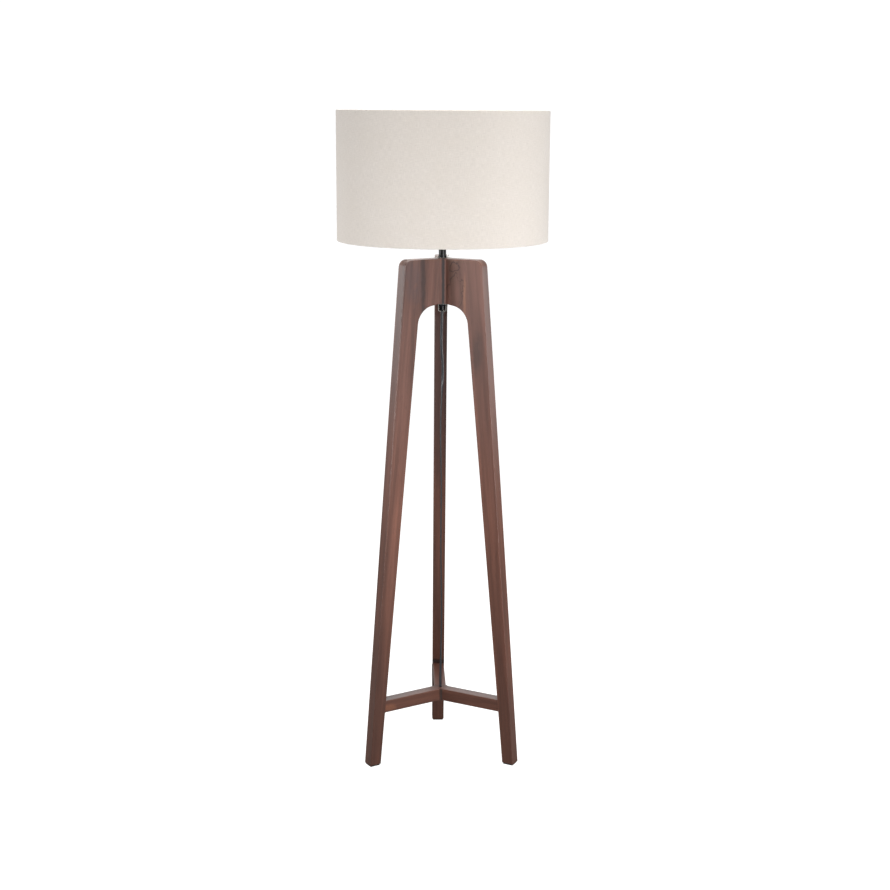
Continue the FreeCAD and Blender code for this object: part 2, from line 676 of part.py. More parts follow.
def switch_knob():
    blank = cylinder("knob_blank", "knobRadius", "knobLong", x="knobStart", z="switchLevel", axis=out)
    bore = cylinder("knob_bore", "shaftRadius", "knobBore", x="knobStart", z="switchLevel", axis=out)
    flutes = add("Part::Compound", "knob_flutes")
    count = 12
    flutes.Links = [
        cylinder(f"knob_flute_{i}", "fluteRadius", "knobLong - knobPlain + overcut",
                 x="knobStart + knobPlain",
                 y=f"(knobRadius + fluteRadius / 3) * cos({i * 360 / count} deg)",
                 z=f"switchLevel + (knobRadius + fluteRadius / 3) * sin({i * 360 / count} deg)", axis=out)
        for i in range(count)]
    node(cut("knob", cut("knob_bored", blank, bore), flutes), "switch_knob")


switch_knob()


# --- bulb: centre contact, insulator, screw cap and glass

tip_top = "(bulbTipZ + tipHigh)"
cap_foot = f"({tip_top} + insulatorHigh)"
node(cylinder("bulb_tip", "tipRadius", "tipHigh", z="bulbTipZ"), "bulb_tip")
node(revolved("bulb_insulator", [
    ("0", tip_top), ("tipRadius", tip_top), ("bulbCapRadius - bulbCapWall", cap_foot),
    ("0", cap_foot)]), "bulb_insulator")
node(tube("bulb_cap", "bulbCapRadius", "bulbCapRadius - bulbCapWall", f"bulbCapTop - {cap_foot}",
          z=cap_foot), "bulb_cap")


def bulb_form(name, inset):
    globe = bind(add("Part::Sphere", name + "_globe"), Radius=f"bulbRadius - {inset}")
    at(globe, z="bulbCentre")
    neck = bind(add("Part::Cone", name + "_neck"), Radius1=f"bulbNeck - {inset}",
                Radius2=f"bulbShoulder - {inset}", Height="bulbNeckHigh")
    at(neck, z="bulbCapTop")
    foot = cylinder(name + "_foot", f"bulbNeck - {inset}", "bulbFoot", z="bulbCapTop - bulbFoot")
    upper = add("Part::Fuse", name + "_upper")
    upper.Base, upper.Tool = globe, neck
    whole = add("Part::Fuse", name)
    whole.Base, whole.Tool = upper, foot
    return whole


node(cut("glass", bulb_form("glass_outside", "0"), bulb_form("glass_inside", "bulbWall")), "bulb_glass")


# --- drum shade and the rings that hold it

fitter_bottom = "(clampBottom + clampThick + runGap)"
fitter_top = f"({fitter_bottom} + fitterThick)"
thread = "skirtRadius + threadGap"
node(tube("shade_clamp_lower", "clampRadius", thread, "clampThick", z="clampBottom"),
     "shade_clamp_lower")
node(revolved("shade_clamp_upper", [
    (thread, f"{fitter_top} + runGap"), ("clampRadius", f"{fitter_top} + runGap"),
    ("clampRadius", f"{fitter_top} + runGap + clampFlange"),
    ("clampRadius - clampStep", f"{fitter_top} + runGap + clampStep"),
    ("clampRadius - clampStep", f"{fitter_top} + clampUpper"), (thread, f"{fitter_top} + clampUpper"),
]), "shade_clamp_upper")
liner_outside = "(shadeRadius - fabricThick - linerGap)"
wire_circle = f"({liner_outside} - linerThick - wireGap - wireRadius)"


def shade_carrier():
    plate = tube("carrier_plate", "plateRadius", "fitterHole", "fitterThick", z=fitter_bottom)
    rise = size(fitter_bottom) + size("fitterThick") / 2
    low = size("shadeBottom + hemThick + armLanding")
    near, far = size("plateRadius - armRadius"), size(wire_circle)
    parts = [plate]
    for i, azimuth in enumerate((30, 150, 270)):
        turn = Rotation(Vector(0, 0, 1), azimuth)
        start = turn.multVec(Vector(near, 0, rise))
        along = turn.multVec(Vector(far - near, 0, low - rise))
        arm = bind(add("Part::Cylinder", f"carrier_arm_{i}"), Radius="armRadius")
        arm.Height = along.Length
        arm.Placement = Placement(start, Rotation(Vector(0, 0, 1), along))
        parts.append(arm)
    whole = add("Part::MultiFuse", "carrier")
    whole.Shapes = parts
    node(whole, "shade_carrier")


shade_carrier()
fabric_top, fabric_bottom = "(shadeTop - hemThick)", "(shadeBottom + hemThick)"
fabric_high = f"{fabric_top} - {fabric_bottom}"
node(tube("shade_fabric", "shadeRadius", "shadeRadius - fabricThick", fabric_high, z=fabric_bottom),
     "shade_fabric")
node(tube("shade_liner", liner_outside, f"{liner_outside} - linerThick", fabric_high, z=fabric_bottom),
     "shade_liner")
for end, level in (("top", f"{fabric_top} - wireRadius"), ("bottom", f"{fabric_bottom} + wireRadius")):
    ring = bind(add("Part::Torus", "wire_" + end), Radius1=wire_circle, Radius2="wireRadius")
    node(at(ring, z=level), "shade_wire_" + end)


def hem(end, edge, sign):
    # tape folded over the shade's edge and round its wire
    outer, inner = "(shadeRadius + hemGap)", f"({wire_circle} - wireRadius - wireGap)"
    leaf, fold = f"{edge} {sign} hemHigh", f"{edge} {sign} hemThick"
    corners = [(f"{outer} + hemThick", leaf), (f"{outer} + hemThick", edge),
               (f"{inner} - hemThick", edge), (f"{inner} - hemThick", leaf), (inner, leaf),
               (inner, fold), (outer, fold), (outer, leaf)]
    node(revolved("shade_hem_" + end, corners), "shade_hem_" + end)


hem("top", "shadeTop", "-")
hem("bottom", "shadeBottom", "+")


# --- clips across the cord channel

clips, clip_screws = [], []
for i, place in enumerate(("clipNear", "clipFar")):
    clips.append(box(f"clip_{i}", "-clipLong / 2", f"{place} - clipWide / 2", "barBottom - clipThick",
                     "clipLong", "clipWide", "clipThick"))
    for j, sign in enumerate(("-", "")):
        clip_screws.append(cylinder(f"clip_screw_{i}_{j}", "clipScrew", "clipScrewLong",
                                    x=f"{sign}(clipLong / 2 - clipScrewInset)", y=place,
                                    z="barBottom - clipThick - clipScrewOut"))
group("channel_clips", clips)
group("clip_screws", clip_screws)


# --- cord: straight runs joined by arcs as large as the runs allow

def rounded_path(name, points):
    share = 0.45  # how much of the shorter run an arc takes up
    edges, last = [], points[0]
    for before, corner, after in zip(points, points[1:], points[2:]):
        back, forth = before - corner, after - corner
        half_turn = (math.pi - back.getAngle(forth)) / 2
        reach = share * min(back.Length, forth.Length)
        radius = reach / math.tan(half_turn)
        print(f"{name} arc radius {radius:.1f} mm at {tuple(round(v, 1) for v in corner)}")
        back.normalize()
        forth.normalize()
        inward = (back + forth).normalize()
        start, end = corner + back * reach, corner + forth * reach
        middle = corner + inward * (radius / math.cos(half_turn) - radius)
        edges += [Part.LineSegment(last, start).toShape(), Part.Arc(start, middle, end).toShape()]
        last = end
    edges.append(Part.LineSegment(last, points[-1]).toShape())
    return Part.Wire(edges)


def cord_tube(name, places):
    points = [Vector(*place) for place in places]
    spine = add("Part::Feature", name + "_path")
    spine.Shape = rounded_path(name, points)
    section = bind(add("Part::Circle", name + "_section"), Radius="cordDiameter / 2")
    section.Placement = Placement(points[0], Rotation(Vector(0, 0, 1), points[1] - points[0]))
    item = node(add("Part::Sweep", name), name)
    item.Sections = [section]
    item.Spine = (spine, [f"Edge{i + 1}" for i in range(len(spine.Shape.Edges))])
    item.Solid = True
    doc.recompute()
    length = spine.Shape.Length
    expected = math.pi * size("cordDiameter / 2") ** 2 * length
    print(f"{name} length {length:.0f} mm, volume {item.Shape.Volume / expected:.4f} of section x length")
    return length


cord_route = [
    (0, 0, size("yokeBottom + yokeThick + gripGap")),
    (0, 0, 1048), (-2.4, 0, 1006), (2.4, 0, 940), (-3.2, 0, 800), (0.4, 0, 655), (-1.2, 0, 530),
    (2.2, 0, 350), (0.8, 0, 250), (-0.3, 0, 185), (0, 0, 133),
    (0, 38, 133), (0.5, 94, 133.4), (0, 152, 133), (0, 208, 132.5),
    (-0.5, 232, 107), (-1, 234, 66), (-3, 236, 24), (-6, 258, 3), (-6.3, 284, 3.2),
]
laid = cord_tube("cord", cord_route)


def cord_hank():
    across = "hankCentre - hankWide / 2"
    middle = "(hankBottom + hankEnd)"
    ends = [cylinder(f"hank_end_{i}", "hankEnd", "hankWide", x=across, y=place, z=middle, axis=out)
            for i, place in enumerate(("hankStart", "hankStart + hankRun"))]
    runs = box("hank_runs", across, "hankStart", "hankBottom", "hankWide", "hankRun", "2 * hankEnd")
    whole = add("Part::MultiFuse", "hank")
    whole.Shapes = ends + [runs]
    node(whole, "cord_hank")
    sheath = box("tie_sheath", f"{across} - tieThick", "hankStart + hankRun / 2 - tieWide / 2",
                 "hankBottom - tieThick", "hankWide + 2 * tieThick", "tieWide",
                 "2 * (hankEnd + tieThick)")
    inside = box("tie_inside", across, "hankStart + hankRun / 2 - tieWide / 2", "hankBottom",
                 "hankWide", "tieWide", "2 * hankEnd")
    node(cut("tie", sheath, inside), "hank_tie")


cord_hank()


def plug():
    back = Vector(0, 1, 0)
    sleeve = bind(add("Part::Cone", "sleeve_cone"), Radius1="cordDiameter / 2 + sleeveWall",
                  Radius2="plugThick / 2", Height="sleeveLong")
    sleeve.Placement = Placement(Vector(), Rotation(Vector(0, 0, 1), back))
    at(sleeve, "hankCentre", "plugStart", "plugLevel")
    node(sleeve, "plug_sleeve")
    start = "(plugStart + sleeveLong)"
    body = node(add("PartDesign::Body", "plug_body"), "plug_body")
    low, high = "(plugLevel - plugHigh / 2)", "(plugLevel + plugHigh / 2)"
    corners = [(start, f"{low} + plugTaper"), (f"{start} + plugTaperLong", low),
               (f"{start} + plugLong", low), (f"{start} + plugLong", high),
               (f"{start} + plugTaperLong", high), (start, f"{high} - plugTaper")]
    block = pad(body, "plug_block", "YZ_Plane", corners, "plugThick", offset="hankCentre", middle=True)
    fillet(body, "plug_eased", block, "plugEase", lambda edge: True)
    for_pins = [cylinder(f"pin_{i}", "pinRadius", "pinLong", x="hankCentre", y=f"{start} + plugLong",
                         z=f"plugLevel {sign} pinSpread / 2", axis=back)
                for i, sign in enumerate("-+")]
    group("plug_pins", for_pins)


plug()
tail_route = [(-0.1, 382, 3.2), (-0.1, 400, 3.2), (-0.1, 418, 17.5), (-0.1, 436, 17.5)]
laid += cord_tube("cord_tail", tail_route)

doc.recompute()
faults = [item.Label for item in doc.Objects if {"Invalid", "Error"} & set(item.State)]
for name, item in nodes.items():
    shape = item.Shape
    if shape.isNull() or not shape.isValid() or not shape.Solids:
        faults.append(name)
if faults:
    raise RuntimeError("these objects failed: " + ", ".join(faults))
os.makedirs("parts", exist_ok=True)
for name, item in nodes.items():
    item.Shape.exportStep(f"parts/{name}.step")
print(f"{len(nodes)} nodes written; cord outside its hank {laid:.0f} mm")
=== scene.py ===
import bmesh
import bpy
import math
from mathutils import Matrix, Vector


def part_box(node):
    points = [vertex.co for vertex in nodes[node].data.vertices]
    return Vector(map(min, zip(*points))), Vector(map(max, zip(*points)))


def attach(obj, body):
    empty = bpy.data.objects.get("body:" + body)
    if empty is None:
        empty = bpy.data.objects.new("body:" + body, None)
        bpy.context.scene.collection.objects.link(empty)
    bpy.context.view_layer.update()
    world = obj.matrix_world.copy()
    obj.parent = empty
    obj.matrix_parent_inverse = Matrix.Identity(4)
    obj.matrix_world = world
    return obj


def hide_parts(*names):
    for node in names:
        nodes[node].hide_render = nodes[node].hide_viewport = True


# Tripod floor lamp: walnut boards, linen drum shade, black stem and a flat twin cord.
# Everything is in metres in the frame's own coordinates: floor at z 0, front towards -Y.

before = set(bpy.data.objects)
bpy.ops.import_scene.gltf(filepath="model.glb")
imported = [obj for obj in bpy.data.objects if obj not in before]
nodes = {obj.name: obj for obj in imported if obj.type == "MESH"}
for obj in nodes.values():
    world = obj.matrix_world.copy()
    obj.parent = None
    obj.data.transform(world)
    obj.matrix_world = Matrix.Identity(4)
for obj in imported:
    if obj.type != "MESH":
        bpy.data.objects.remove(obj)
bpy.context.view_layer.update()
mm = 0.001


def newPiece(name, shape):
    mesh = bpy.data.meshes.new(name)
    shape.to_mesh(mesh)
    shape.free()
    piece = bpy.data.objects.new(name, mesh)
    bpy.context.scene.collection.objects.link(piece)
    return piece


def paint(piece, material):
    piece.data.materials.clear()
    piece.data.materials.append(material)


def finishPiece(piece, body, material, replaces):
    paint(piece, material)
    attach(piece, body)
    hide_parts(*replaces)


# lens and sensor are in mm, the place in metres
camera = {
    "place": (-0.1222, -3.5519, 1.530),
    "heading": 2.10,  # degrees from +Y towards +X
    "down": 12.27,
    "roll": 0.29,
    "lens": 62.81,
    "sensor": 36,
}


def makeCamera():
    heading, down, roll = (math.radians(camera[k]) for k in ("heading", "down", "roll"))
    forward = Vector((math.sin(heading) * math.cos(down), math.cos(heading) * math.cos(down), -math.sin(down)))
    right = forward.cross(Vector((0, 0, 1))).normalized()
    up = right.cross(forward)
    across = right * math.cos(roll) + up * math.sin(roll)
    upright = up * math.cos(roll) - right * math.sin(roll)
    data = bpy.data.cameras.new("camera")
    data.lens, data.sensor_width = camera["lens"], camera["sensor"]
    data.clip_start, data.clip_end = 0.1, 100
    item = bpy.data.objects.new("camera", data)
    item.matrix_world = Matrix((
        (across.x, upright.x, -forward.x, camera["place"][0]),
        (across.y, upright.y, -forward.y, camera["place"][1]),
        (across.z, upright.z, -forward.z, camera["place"][2]),
        (0, 0, 0, 1)))
    bpy.context.scene.collection.objects.link(item)
    bpy.context.scene.camera = item
    bpy.context.scene.view_settings.view_transform = "Standard"


def hexColour(text):  # sRGB hex to the linear values that shaders take
    parts = [int(text[i:i + 2], 16) / 255 for i in (1, 3, 5)]
    return [c / 12.92 if c <= 0.04045 else ((c + 0.055) / 1.055) ** 2.4 for c in parts] + [1]


def addNode(tree, kind, inputs=None, **settings):
    # inputs are nodes or sockets to link, or values; a hex colour is turned to linear
    item = tree.nodes.new("ShaderNode" + kind)
    for key, value in settings.items():
        setattr(item, key, value)
    for socket, value in (inputs or {}).items():
        if isinstance(value, bpy.types.Node):
            value = value.outputs[0]
        if isinstance(value, bpy.types.NodeSocket):
            tree.links.new(value, item.inputs[socket])
        else:
            item.inputs[socket].default_value = hexColour(value) if isinstance(value, str) else value
    return item


studio = {
    "ambient": 0.3,  # what the white room gives from every side
    "backdrop": 1.05,  # what the eye sees behind the lamp
    "floorTone": "#8c8a88",
    "floorGlow": 1.0,
    "floorRadius": 9.0,
    "softboxes": [  # name, place, aimed at, width, height, watts, spread in degrees
        ("frontRight", (1.6, -2.7, 0.95), (0, 0, 0.74), 1.4, 1.2, 9.6, 50),
        ("left", (-3.0, -0.6, 1.0), (0, 0, 0.9), 1.4, 1.2, 6.9, 52),
        ("backRight", (2.8, 1.0, 1.0), (0, 0, 0.9), 1.4, 1.0, 1.2, 52),
        ("backLeft", (-2.7, 1.8, 1.3), (0, 0, 1.0), 1.6, 1.2, 3, 80),
        ("behind", (0, 3.4, 1.6), (0, 0, 0.5), 2.6, 1.0, 2.5, 70),
        ("overhead", (0.3, -0.3, 3.4), (0, 0, 1.0), 2.4, 2.4, 105, 180),
    ],
}


def makeRoom():
    world = bpy.data.worlds.new("studio")
    world.use_nodes = True
    tree = world.node_tree
    tree.nodes.clear()
    seenDirectly = addNode(tree, "LightPath").outputs["Is Camera Ray"]
    room = addNode(tree, "Background", {"Color": "#ffffff", "Strength": studio["ambient"]})
    seen = addNode(tree, "Background", {"Color": "#ffffff", "Strength": studio["backdrop"]})
    both = addNode(tree, "MixShader", {0: seenDirectly, 1: room, 2: seen})
    addNode(tree, "OutputWorld", {"Surface": both})
    bpy.context.scene.world = world


def makeSoftboxes():
    for name, place, target, width, height, watts, spread in studio["softboxes"]:
        lamp = bpy.data.lights.new(name, "AREA")
        lamp.shape, lamp.size, lamp.size_y, lamp.energy = "RECTANGLE", width, height, watts
        lamp.spread = math.radians(spread)
        item = bpy.data.objects.new(name, lamp)
        aim = (Vector(target) - Vector(place)).to_track_quat("-Z", "Y")
        item.matrix_world = Matrix.Translation(place) @ aim.to_matrix().to_4x4()
        item.visible_camera = False
        bpy.context.scene.collection.objects.link(item)


def makeFloor():
    # Pale matt floor that looks evenly white from above and is open when looked at from below
    shape = bmesh.new()
    bmesh.ops.create_circle(shape, cap_ends=True, segments=96, radius=studio["floorRadius"])
    floor = newPiece("studioFloor", shape)
    material = bpy.data.materials.new("pale floor")
    material.use_nodes = True
    tree = material.node_tree
    tree.nodes.clear()
    seenDirectly = addNode(tree, "LightPath").outputs["Is Camera Ray"]
    matt = addNode(tree, "BsdfDiffuse", {"Color": studio["floorTone"]})
    glow = addNode(tree, "Math", {0: seenDirectly, 1: studio["floorGlow"]}, operation="MULTIPLY")
    shine = addNode(tree, "Emission", {"Strength": glow})
    both = addNode(tree, "AddShader", {0: matt, 1: shine})
    below = addNode(tree, "NewGeometry").outputs["Backfacing"]
    clear = addNode(tree, "BsdfTransparent")
    whole = addNode(tree, "MixShader", {0: below, 1: both, 2: clear})
    addNode(tree, "OutputMaterial", {"Surface": whole})
    paint(floor, material)


makeCamera()
makeRoom()
makeSoftboxes()
makeFloor()
print("camera and studio are set")


def newMaterial(name, colour, roughness, **settings):
    # a principled surface; settings are its other sockets, with spaces left out of their names
    material = bpy.data.materials.new(name)
    material.use_nodes = True
    tree = material.node_tree
    shader = tree.nodes["Principled BSDF"]
    shader.inputs["Base Color"].default_value = hexColour(colour)
    shader.inputs["Roughness"].default_value = roughness
    named = {socket.name.replace(" ", ""): socket for socket in shader.inputs}
    for key, value in settings.items():
        named[key].default_value = value
    return material, tree, shader


def perSize(*size):  # a pattern's scale, from its size in mm along each axis
    return [1 / (s * mm) for s in size]


grainRough = 0.55  # how strongly each finer layer of a noise shows

# sizes in mm across, across and along the grain
walnutLook = {
    "dark": "#462a22",
    "middle": "#644238",
    "light": "#7d5246",
    "mark": "#2a1712",
    "tints": [(0.12, "#ddd2c4"), (0.6, "#fff7eb"), (1.08, "#fbffff")],  # painted shade and sheen by height: darker towards the floor, a painted cool grey sheen near the top
    "tintTop": 1.2,  # metres; where the ramp of painted shade and sheen ends
    "roughness": 0.38,
    "coat": 0.2,
    "sway": (60, 60, 400),  # how the grain wanders along a board
    "swayDeep": 0.02,  # metres
    "rings": 22,  # mm between growth rings as a flat-sawn board shows them
    "bands": (24, 24, 420),
    "streaks": (2.2, 2.2, 240),  # drawn wider than the real 1 mm so that they show
    "pores": (1.2, 1.2, 22),  # drawn wider than the real 0.3 mm
    "markEdge": (15, 15, 24),  # how the edge of a spot of wood figure or of painted shade wanders
    "bump": 0.04,  # mm from the lowest to the highest point
}


def walnut(name, azimuth, lean, shift, marks):
    # Stained walnut under satin lacquer: soft broad bands, fine streaks and short dark pores along
    # the grain, with a sheen that greys it, painted shade that darkens it towards the floor and a painted
    # grey sheen near the top. azimuth turns the pattern to the board, lean along its slope.
    look = walnutLook
    material, tree, shader = newMaterial(name, look["middle"], look["roughness"], IOR=1.5,
                                         CoatWeight=look["coat"], CoatRoughness=0.35)
    place = addNode(tree, "TexCoord").outputs["Object"]
    board = addNode(tree, "Mapping", {"Vector": place, "Rotation": (0, 0, -math.radians(azimuth))})
    grain = addNode(tree, "Mapping", {"Vector": board, "Location": shift, "Rotation": (0, lean, 0)})

    sway = addNode(tree, "Mapping", {"Vector": grain, "Scale": perSize(*look["sway"])})
    sway = addNode(tree, "TexNoise", {"Vector": sway, "Scale": 1, "Detail": 2, "Roughness": grainRough})
    sway = addNode(tree, "Math", {0: sway, 1: 0.5}, operation="SUBTRACT")
    sway = addNode(tree, "Math", {0: sway, 1: look["swayDeep"]}, operation="MULTIPLY")
    bent = addNode(tree, "VectorMath", {0: grain, 1: sway}, operation="ADD")

    heart = addNode(tree, "Mapping", {"Vector": bent, "Location": (0.05, 0.03, 0), "Scale": (1, 1, 0.05)})
    rings = addNode(tree, "TexWave", {"Vector": heart, "Scale": 2 * math.pi / 20 / (look["rings"] * mm),
                                      "Distortion": 2.2, "Detail": 2, "Detail Scale": 0.6},
                    wave_type="RINGS", rings_direction="Z").outputs[1]
    noises = []
    for pattern, detail in (("bands", 2), ("streaks", 3), ("pores", 1)):
        laid = addNode(tree, "Mapping", {"Vector": bent, "Scale": perSize(*look[pattern])})
        noises.append(addNode(tree, "TexNoise", {"Vector": laid, "Scale": 1, "Detail": detail,
                                                 "Roughness": grainRough}))
    bands, streaks, pores = noises
    pored = addNode(tree, "MapRange", {0: pores, 1: 0.64, 2: 0.76})
    layers = [  # how much of the next colour shows, and the colour
        (addNode(tree, "MapRange", {0: bands, 1: 0.3, 2: 0.7}), look["light"]),
        (0.3, look["middle"]),
        (addNode(tree, "MapRange", {0: rings, 1: 0.45, 2: 1, 4: 0.28}), look["dark"]),
        (addNode(tree, "MapRange", {0: streaks, 1: 0.45, 2: 0.75, 4: 0.4}), look["dark"]),
        (addNode(tree, "MapRange", {0: streaks, 1: 0.5, 2: 0.25, 4: 0.22}), look["light"]),
        (addNode(tree, "Math", {0: pored, 1: 0.4}, operation="MULTIPLY"), look["mark"])]
    colour = look["dark"]
    for share, nextColour in layers:
        colour = addNode(tree, "Mix", {0: share, 6: colour, 7: nextColour}, data_type="RGBA").outputs[2]

    # painted shade and sheen: the colour is multiplied darker towards the floor and greyer near the top, by
    # height
    height = addNode(tree, "SeparateXYZ", {0: place}).outputs["Z"]
    height = addNode(tree, "Math", {0: height, 1: look["tintTop"]}, operation="DIVIDE")
    heightShade = addNode(tree, "ValToRGB", {0: height})
    steps = heightShade.color_ramp.elements
    for i, (level, tint) in enumerate(look["tints"]):
        step = steps[i] if i < len(steps) else steps.new(level / look["tintTop"])
        step.position, step.color = level / look["tintTop"], hexColour(tint)
    colour = addNode(tree, "Mix", {0: 1.0, 6: colour, 7: heightShade}, data_type="RGBA",
                     blend_type="MULTIPLY").outputs[2]

    wander = addNode(tree, "Mapping", {"Vector": board, "Scale": perSize(*look["markEdge"])})
    wander = addNode(tree, "TexNoise", {"Vector": wander, "Scale": 1, "Detail": 2, "Roughness": grainRough})
    wander = addNode(tree, "Math", {0: wander, 1: 0.5}, operation="SUBTRACT")
    # spots of the wood's own figure, and painted shade or shadow where some boards meet
    for centre, radii, strength, tint, *loop in marks:
        scale = perSize(*radii)
        middle = [-c * mm * s for c, s in zip(centre, scale)]
        spot = addNode(tree, "Mapping", {"Vector": board, "Location": middle, "Scale": scale})
        spot = addNode(tree, "VectorMath", {0: spot, 1: wander}, operation="ADD")
        spot = addNode(tree, "TexGradient", {"Vector": spot}, gradient_type="SPHERICAL").outputs[1]
        if loop:  # only a thin line round the place, as growth rings show round a knot
            spot = addNode(tree, "Math", {0: spot, 1: 0.45}, operation="SUBTRACT")
            spot = addNode(tree, "Math", {0: spot}, operation="ABSOLUTE")
            spot = addNode(tree, "MapRange", {0: spot, 1: loop[0], 2: 0})
        else:
            spot = addNode(tree, "MapRange", {0: spot, 1: 0, 2: 0.6})
        spot = addNode(tree, "Math", {0: spot, 1: strength}, operation="MULTIPLY")
        colour = addNode(tree, "Mix", {0: spot, 6: colour, 7: tint}, data_type="RGBA").outputs[2]

    gloss = addNode(tree, "MapRange", {0: streaks, 1: 0.3, 2: 0.7, 3: look["roughness"] + 0.05,
                                       4: look["roughness"] - 0.04})
    relief = addNode(tree, "Math", {0: streaks, 1: pored}, operation="SUBTRACT")
    bump = addNode(tree, "Bump", {"Height": relief, "Strength": 0.5, "Distance": look["bump"] * mm})
    tree.links.new(colour, shader.inputs["Base Color"])
    tree.links.new(gloss.outputs[0], shader.inputs["Roughness"])
    tree.links.new(bump.outputs[0], shader.inputs["Normal"])
    return material


legLean = 0.089  # slope of the legs' middle line
# azimuth, slope and start of the grain, then spots of wood figure and of painted shade: place outwards,
# across and up in mm, radii in mm, strength, colour, and for a thin ring its width as a share of the radii
boards = {
    "leg_front_left": (210, legLean, (0.31, 0.02, 0.4),
                       [((60, 14, 1140), (8, 30, 190), 0.75, "#2c1c1a"),
                        ((86, 14, 1152), (28, 30, 75), 0.45, "#463b3e"),
                        ((88, 14, 1060), (7, 30, 260), 0.25, "#33201a")]),
    "leg_front_right": (330, legLean, (0.77, 0.05, 1.3),
                        [((34, -14, 1165), (22, 30, 50), 0.35, "#4a3327"),
                         ((39, -14, 1177), (22, 60, 19), 0.8, "#2a1812", 0.09),
                         ((41, -14, 1118), (36, 60, 70), 0.7, "#2a1812", 0.05),
                         ((20, -14, 1120), (2.5, 30, 60), 0.4, "#33201a"),
                         ((65, -14, 1108), (4.5, 30, 70), 0.5, "#9a6a4e"),
                         ((98, -14, 985), (15, 30, 60), 0.6, "#33221e")]),
    "leg_back": (90, legLean, (1.21, 0.07, 0.9),
                 # painted shadow of the head over the back leg's upper part, and a painted shadow line just
                 # above where the back stretcher meets the leg
                 [((85, 0, 920), (90, 40, 420), 0.55, "#352a2a"),
                  ((158, 0, 164), (30, 60, 9), 0.85, "#170f0d")]),
    # painted shade down the post's narrow front face, in the valley between the front boards
    "head_post": (0, 0, (0.9, 0.4, 0.2), [((1.2, -21, 1140), (4.4, 14, 300), 0.9, "#131217")]),
}
bars = {  # azimuth, and spots of wood figure and of painted shade; their grain runs along the bar
    "stretcher_front_left": (210, [((150, 14, 140), (22, 14, 10), 0.5, "#85543a")]),
    "stretcher_front_right": (330, []),
    "stretcher_back": (90, []),
    # painted shade on the hub's narrow front face, in the valley between the front stretchers
    "stretcher_hub": (0, [((1, -18, 143), (4.5, 8, 60), 0.75, "#1b1210")]),
}


def makeWood():
    for node, (azimuth, lean, shift, marks) in boards.items():
        paint(nodes[node], walnut("walnut " + node, azimuth, lean, shift, marks))
    for i, (node, (azimuth, marks)) in enumerate(bars.items()):
        shift = (0.2 + i * 0.37, 0.1, 0.3 + i * 0.21)  # so that no two bars show the same grain
        paint(nodes[node], walnut("walnut " + node, azimuth, math.pi / 2, shift, marks))


makeWood()
print("wood is done")


# flat twin flex from the grip through the hub and the back leg to its plug; all in mm
cordFacts = {
    "width": 6,
    "thick": 3,
    "routeToHank": [
        (0, 0, 1073.1), (0, 0, 1048), (-2.4, 0, 1006), (2.4, 0, 940), (1.0, 0, 905), (0, 0, 880),
        (-3.2, 0, 800), (0.4, 0, 655), (-1.2, 0, 530), (2.2, 0, 350), (0.8, 0, 250), (-0.3, 0, 185),
        (0, 0, 133), (0, 38, 133), (0.5, 94, 133.4), (0, 152, 133), (0, 208, 132.5),
        (-0.5, 232, 107), (-1, 234, 66), (-3, 236, 24), (-6, 258, 3), (-6.3, 284, 3.2),
        (-6.3, 316, 4.6), (-6.3, 348, 5.7)],
    "routeFromHank": [(-0.1, 382, 3.2), (-0.1, 400, 3.2), (-0.1, 418, 17.5), (-0.1, 436, 17.5)],
    "hankMiddle": 23.7,  # height of the hank's middle line
    "hankNear": 275,  # where the hank's folded ends start to turn
    "hankFar": 380,
    "hankStraight": 35,  # from a folded end to where the next turn may cross over
    "turns": [  # across and radius at the start of each turn, and the stations between which it changes
        (-6.3, 18.0, 5, 7), (-0.1, 18.0, 5, 7), (6.1, 18.0, 4, 5), (6.1, 21.3, 2, 3), (-0.1, 21.3, 0, 0)],
    "edgeOn": (200, 900),  # between these heights the drop shows its thin edge to the front
}


def hankPoints():
    facts = cordFacts
    near, far, level = facts["hankNear"], facts["hankFar"], facts["hankMiddle"]
    straight = facts["hankStraight"]
    corner = math.tan(math.radians(22.5))  # an eight-sided frame round each folded end
    stations = [  # along from the near or far fold, in radii, then up, in radii
        (far, corner, -1), (far, 1, -corner), (far, 1, corner), (far, corner, 1),
        (far - straight, 0, 1), (near + straight, 0, 1),
        (near, -corner, 1), (near, -1, corner), (near, -1, -corner), (near, -corner, -1),
        (near + straight, 0, -1), (far - straight, 0, -1)]
    points = []
    for (across, radius, first, last), (nextAcross, nextRadius, *_) in zip(facts["turns"], facts["turns"][1:]):
        for i, (along, out, up) in enumerate(stations):
            share = min(1, max(0, (i - first) / (last - first)))
            r = radius + (nextRadius - radius) * share
            x = across + (nextAcross - across) * share
            points.append((x, along + out * r, level + up * r))
    return points


def makeCord(material):
    facts = cordFacts
    places = facts["routeToHank"] + hankPoints() + facts["routeFromHank"]
    data = bpy.data.curves.new("cord_line", "CURVE")
    data.dimensions = "3D"
    data.twist_mode = "MINIMUM"
    spline = data.splines.new("NURBS")
    spline.points.add(len(places) - 1)
    low, high = facts["edgeOn"]
    for point, place in zip(spline.points, places):
        point.co = (*(p * mm for p in place), 1)
        point.tilt = 0 if low < place[2] < high else math.pi / 2
    spline.order_u = 3
    spline.use_endpoint_u = True
    spline.resolution_u = 6
    data.resolution_u = 6
    data.extrude = (facts["width"] - facts["thick"]) / 2 * mm
    data.bevel_depth = facts["thick"] / 2 * mm
    data.bevel_resolution = 3
    data.use_fill_caps = True
    piece = bpy.data.objects.new("cord_flex", data)
    bpy.context.scene.collection.objects.link(piece)
    finishPiece(piece, "frame", material, ["cord", "cord_hank", "cord_tail"])
    return piece


